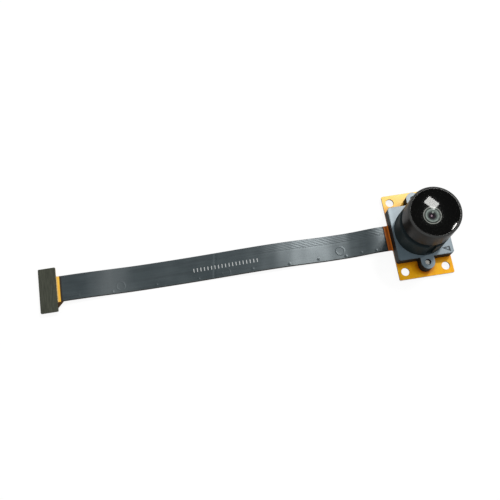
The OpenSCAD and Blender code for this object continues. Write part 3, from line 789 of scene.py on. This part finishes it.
SLOT_TURN = math.radians(-89)
SLOT_WIDTH = 1.9
SLOT_DEPTH = 5.9
SLOT_FLOOR_R = 6.82


def slot_cutter():
    """The block that cuts the locking slot into the collar's wall, from its rim downwards."""
    rim = node_box("lens_holder")[1][2]
    outwards = np.array([math.cos(SLOT_TURN), math.sin(SLOT_TURN)])
    across = SLOT_WIDTH / 2 * np.array([-math.sin(SLOT_TURN), math.cos(SLOT_TURN)])
    inner, outer = SLOT_FLOOR_R * outwards, (SLOT_FLOOR_R + 3) * outwards
    outline = [inner - across, outer - across, outer + across, inner + across]
    return plate("slot_cutter", outline, rim - SLOT_DEPTH, rim + 1)


def corner_mark():
    """A small raised triangle of three plain strokes on the block's corner.

    Its section is carried along an outer outline and an inner one, 0.45 of its size.
    """
    top = node_box("lens_holder")[1][2] - COLLAR_H
    sunk, raised = top - 0.02, top + 0.05
    outer = np.array([(4.85, -6.2), (7.1, -5.95), (7.2, -7.6)])
    centre = outer.mean(axis=0)
    inner = centre + (outer - centre) * 0.45
    rows = [np.column_stack([line, np.full(3, z)])
            for line, z in ((outer, sunk), (outer, raised), (inner, raised), (inner, sunk))]
    return put_mesh("corner_mark", np.concatenate(rows), grid_faces(4, 3, wrap_rows=True, wrap_columns=True))


finish(softened("lens_holder", 0.07, cutter=slot_cutter()), "holder_plastic", replaces=["lens_holder"])
finish(corner_mark(), "mark_grey")
finish(softened("holder_screws", 0.06, 2), "screw_steel", replaces=["holder_screws"])

# ---------------------------------------------------------------- lens

THREAD_PITCH = 0.5
THREAD_DEPTH = 0.26
HEAD_TAPER = 0.175


def barrel():
    """The turned barrel: a closed profile about the axis, its shank cut by a helical thread.

    The thread takes depth * (0.5 + 0.5 cos(2 pi (z / pitch - a / 2 pi))) off the radius along the shank.
    """
    low, high = node_box("lens_barrel")
    spacer_low, spacer_high = node_box("front_spacer")
    glass_low, glass_high = node_box("front_element")
    rear, rim, base_r = low[2], high[2], high[0]
    front_r = base_r - HEAD_TAPER
    groove_r = SHANK_R - 0.18
    bore = glass_high[0] + FIT_GAP
    spacer_bore = spacer_high[0] + FIT_GAP
    rear_bore = node_box("rear_spacer")[1][0] + FIT_GAP
    seat, shoulder_top = glass_low[2], spacer_low[2]
    shoulder = shoulder_top - SHOULDER_T
    head = shoulder - SHOULDER_RISE
    shank_rear, shank_front = rear + 0.3, head - 0.25
    chamfer = rounded([(rear_bore, rear, 0), (SHANK_R - 0.3, rear, 0.05), (SHANK_R, shank_rear, 0)])
    thread_z = np.linspace(shank_rear, shank_front, 106)
    shank_line = np.stack([np.full_like(thread_z, SHANK_R), thread_z], axis=1)
    rest = rounded([
        (SHANK_R, shank_front, 0), (groove_r, head - 0.2, 0.04), (groove_r, head, 0.05),
        (base_r - 0.2, head, 0.12), (base_r, head + 0.2, 0.12), (front_r, rim - BEZEL_H, 0.10),
        (bore + 0.02, rim, 0.05), (bore, rim - 0.06, 0.03), (bore, seat, 0), (spacer_bore, seat, 0),
        (spacer_bore, shoulder_top, 0), (SHOULDER_R, shoulder_top, 0.05), (SHOULDER_R, shoulder, 0.05),
        (rear_bore, shoulder, 0), (rear_bore, rear, 0)])
    profile = np.concatenate([chamfer[:-1], shank_line, rest[1:-1]])

    def thread(r, z, a):
        """What the thread takes off the radius: nothing but on the shank."""
        wave = 0.5 + 0.5 * np.cos(TAU * z / THREAD_PITCH - a)
        along = gate(z, rear + 0.5, head - 0.45, 0.12) * (np.abs(r - SHANK_R) < 1e-6)
        return -THREAD_DEPTH * wave * along

    return lathe("lens_barrel_piece", profile, 192, closed=True, ripple=thread)


def front_glass():
    """The front element: a shallow dome, a ground edge, a flat rear rim and a deep round hollow."""
    low, high = node_box("front_element")
    radius, bevel = high[0], 0.08
    edge, seat = high[2] - DOME_H, low[2] + 0.01
    dome = cap(radius - bevel, DOME_H, edge, steps=40)
    side = np.array([(radius, edge - bevel), (radius, seat + bevel), (radius - bevel, seat)])
    inside = cap(HOLLOW_R, HOLLOW_DEPTH, seat, steps=40)[::-1]
    return lathe("front_glass_piece", np.concatenate([dome, side, inside]))


def blacken_edge(piece):
    """Gives the front element's ground edge and its flat rear rim the black lacquer of the rings."""
    piece.data.materials.append(FINISHES["ring_black"])
    mesh = piece.data
    middle = np.zeros(len(mesh.polygons) * 3)
    normal = np.zeros(len(mesh.polygons) * 3)
    mesh.polygons.foreach_get("center", middle)
    mesh.polygons.foreach_get("normal", normal)
    middle, normal = middle.reshape(-1, 3) / MM, normal.reshape(-1, 3)
    lacquered = (np.hypot(middle[:, 0], middle[:, 1]) > HOLLOW_R) & (normal[:, 2] < 0.5)
    mesh.polygons.foreach_set("material_index", lacquered.astype(np.int32))


def spacer_cup():
    """The black cup behind the front element: a closed profile about the axis.

    Its nose goes from root_r in to tip_r in even steps, which stop stray light.
    """
    low, high = node_box("front_spacer")
    second_high = node_box("second_element")[1]
    outer, cup, lip = high[0], second_high[0] + FIT_GAP, 2.65
    seat = node_box("front_element")[0][2]
    root_r, tip_r = 4.15, 3.7
    steps = 5
    nose = [(root_r, seat, 0.02)]
    for i in range(steps):
        z = seat + (high[2] - 0.05 - seat) * (i + 1) / steps
        r = root_r + (tip_r - root_r) * (i + 1) / steps
        nose += [(r + 0.02, z - 0.02, 0), (r, z, 0)]
    line = rounded([
        (cup, low[2], 0), (outer, low[2], 0.05), (outer, seat, 0.05), *nose, (tip_r - 0.05, high[2], 0.03),
        (lip, high[2], 0.03), (lip, second_high[2], 0), (cup, second_high[2], 0), (cup, low[2], 0)])
    return lathe("front_spacer_piece", line[:-1], 128, closed=True)


def second_glass():
    """The second element: a ground rim, a shallow ring groove and a polished dish down to the pupil."""
    low, high = node_box("second_element")
    radius, front, rear, bevel = high[0], high[2], low[2], 0.08
    dish_r = 1.85
    dish = cap(dish_r, -0.7, front, steps=36)
    rim = rounded([
        (dish_r, front, 0), (1.98, front, 0.02), (2.02, front - 0.12, 0.02), (2.40, front - 0.10, 0.02),
        (2.50, front, 0.02), (radius - bevel, front, 0), (radius, front - bevel, 0),
        (radius, rear + bevel, 0), (radius - bevel, rear, 0)])
    back = cap(2.75, 0.25, rear, steps=12)[::-1]
    return lathe("second_glass_piece", np.concatenate([dish[:-1], rim, back]), 128)


finish(barrel(), "barrel_black", body="lens", replaces=["lens_barrel"])
glass_piece = finish(front_glass(), "front_glass", body="lens", replaces=["front_element"])
blacken_edge(glass_piece)
finish(spacer_cup(), "ring_black", body="lens", replaces=["front_spacer"])
finish(second_glass(), "pupil_glass", body="lens", replaces=["second_element"])

# ---------------------------------------------------------------- CAD nodes that stay

for row in frame["record"]["subparts"]:
    kept = frame["nodes"][row["node"]]
    if kept.hide_render:
        continue
    if not kept.material_slots:
        kept.data.materials.append(None)
    for place in kept.material_slots:
        place.material = FINISHES[row["material_slot"]]

# ---------------------------------------------------------------- floor, backdrop and light


def floor_finish():
    """Near-white floor: what the camera, mirrors and glass see is lifted to white, and shadows stay on it.

    From below it is open, so that the underside can be looked at.
    """
    f = Finish("floor")
    path = f.node("ShaderNodeLightPath").outputs
    seen = f.math("ADD", path["Is Camera Ray"], path["Is Glossy Ray"])
    seen = f.math("MINIMUM", f.math("ADD", seen, path["Is Transmission Ray"]), 1.0)
    matt = f.node("ShaderNodeBsdfDiffuse")
    f.feed(matt.inputs[0], f.blend(seen, (0.85, 0.85, 0.85), (0.12, 0.12, 0.12)))
    glow = f.node("ShaderNodeEmission")
    f.feed(glow.inputs["Strength"], f.math("MULTIPLY", seen, 0.90))
    both = f.node("ShaderNodeAddShader")
    f.join(matt.outputs[0], both.inputs[0])
    f.join(glow.outputs[0], both.inputs[1])
    from_below = f.node("ShaderNodeNewGeometry").outputs["Backfacing"]
    f.mix(from_below, both, f.node("ShaderNodeBsdfTransparent"))
    return f.material


def make_floor():
    """A flat square just under the part and far wider than it."""
    side, below = 1500.0, -0.02
    corners = [(-side, -side, below), (side, -side, below), (side, side, below), (-side, side, below)]
    floor = put_mesh("floor", corners, [(0, 1, 2, 3)])
    floor.data.materials.append(floor_finish())


def make_world(ambient, horizon, overhead):
    """White for the camera, and a plain soft level, ambient, for the light on matt faces.

    Mirrors and glass see a bright horizon that fades to a dark ceiling overhead.
    """
    world = bpy.data.worlds.new("studio")
    scene.world = world
    world.use_nodes = True
    tree = world.node_tree
    tree.nodes.clear()

    def made(kind, *sockets):
        """A new node of a kind, with its numbered sockets set or linked."""
        node = tree.nodes.new(kind)
        for socket, value in sockets:
            if isinstance(value, bpy.types.NodeSocket):
                tree.links.new(value, node.inputs[socket])
            else:
                node.inputs[socket].default_value = value
        return node

    path = made("ShaderNodeLightPath").outputs
    mirrored = made("ShaderNodeMath", (0, path["Is Glossy Ray"]), (1, path["Is Transmission Ray"])).outputs[0]
    split = made("ShaderNodeSeparateXYZ", (0, made("ShaderNodeTexCoord").outputs["Generated"]))
    ceiling = made("ShaderNodeMapRange", (0, split.outputs["Z"]), (1, 0.30), (2, 0.80),
                   (3, horizon), (4, overhead))
    ceiling.interpolation_type = "SMOOTHSTEP"
    level = made("ShaderNodeMapRange", (0, mirrored), (3, ambient), (4, ceiling.outputs[0])).outputs[0]
    shown = made("ShaderNodeMapRange", (0, path["Is Camera Ray"]), (3, level), (4, 1.0)).outputs[0]
    back = made("ShaderNodeBackground", (0, (1, 1, 1, 1)), (1, shown))
    made("ShaderNodeOutputWorld", (0, back.outputs[0]))


LENS_FRONT_METRES = 0.0217


def area_lamp(name, direction, side, distance, width, length, watts):
    """A rectangular lamp at a distance from the lens, facing it, its width along side, all in metres."""
    light = bpy.data.lights.new(name, "AREA")
    light.shape = "RECTANGLE"
    light.size, light.size_y = width, length
    light.energy = watts
    lamp = bpy.data.objects.new(name, light)
    scene.collection.objects.link(lamp)
    back = np.array(direction, float)
    back /= np.linalg.norm(back)
    across = np.array(side, float)
    across -= back * (across @ back)
    across /= np.linalg.norm(across)
    upward = np.cross(back, across)
    place = np.array([0, 0, LENS_FRONT_METRES]) + back * distance
    matrix = np.eye(4)
    matrix[:3] = np.stack([across, upward, back, place], axis=1)
    lamp.matrix_world = Matrix(matrix.tolist())
    lamp.visible_camera = False
    return lamp


def light_only(lamp, pieces):
    """Keeps a lamp's light to these pieces."""
    lit = bpy.data.collections.new(lamp.name + "_lit")
    for piece in pieces:
        lit.objects.link(piece)
    lamp.light_linking.receiver_collection = lit


make_floor()
make_world(ambient=0.64, horizon=0.82, overhead=0.014)
SOFTBOX = dict(direction=(0.2985, 0.359, 0.884), side=(0.0635, -0.0790, 0.006), distance=0.6,
               width=0.0720, length=0.0545)
STRIP = dict(direction=(0.462, 0.100, 0.882), side=(0.053, 0.060, -0.034), distance=0.6,
             width=0.0520, length=0.0054)
area_lamp("softbox", watts=0.0262, **SOFTBOX)
area_lamp("strip", watts=0.0048, **STRIP)
matt_pieces = [o for o in scene.objects if o.type == "MESH" and o is not glass_piece]
light_only(area_lamp("softbox_key", watts=1.5, **SOFTBOX), matt_pieces)
light_only(area_lamp("strip_key", watts=0.3, **STRIP), matt_pieces)

scene.view_settings.view_transform = "Standard"
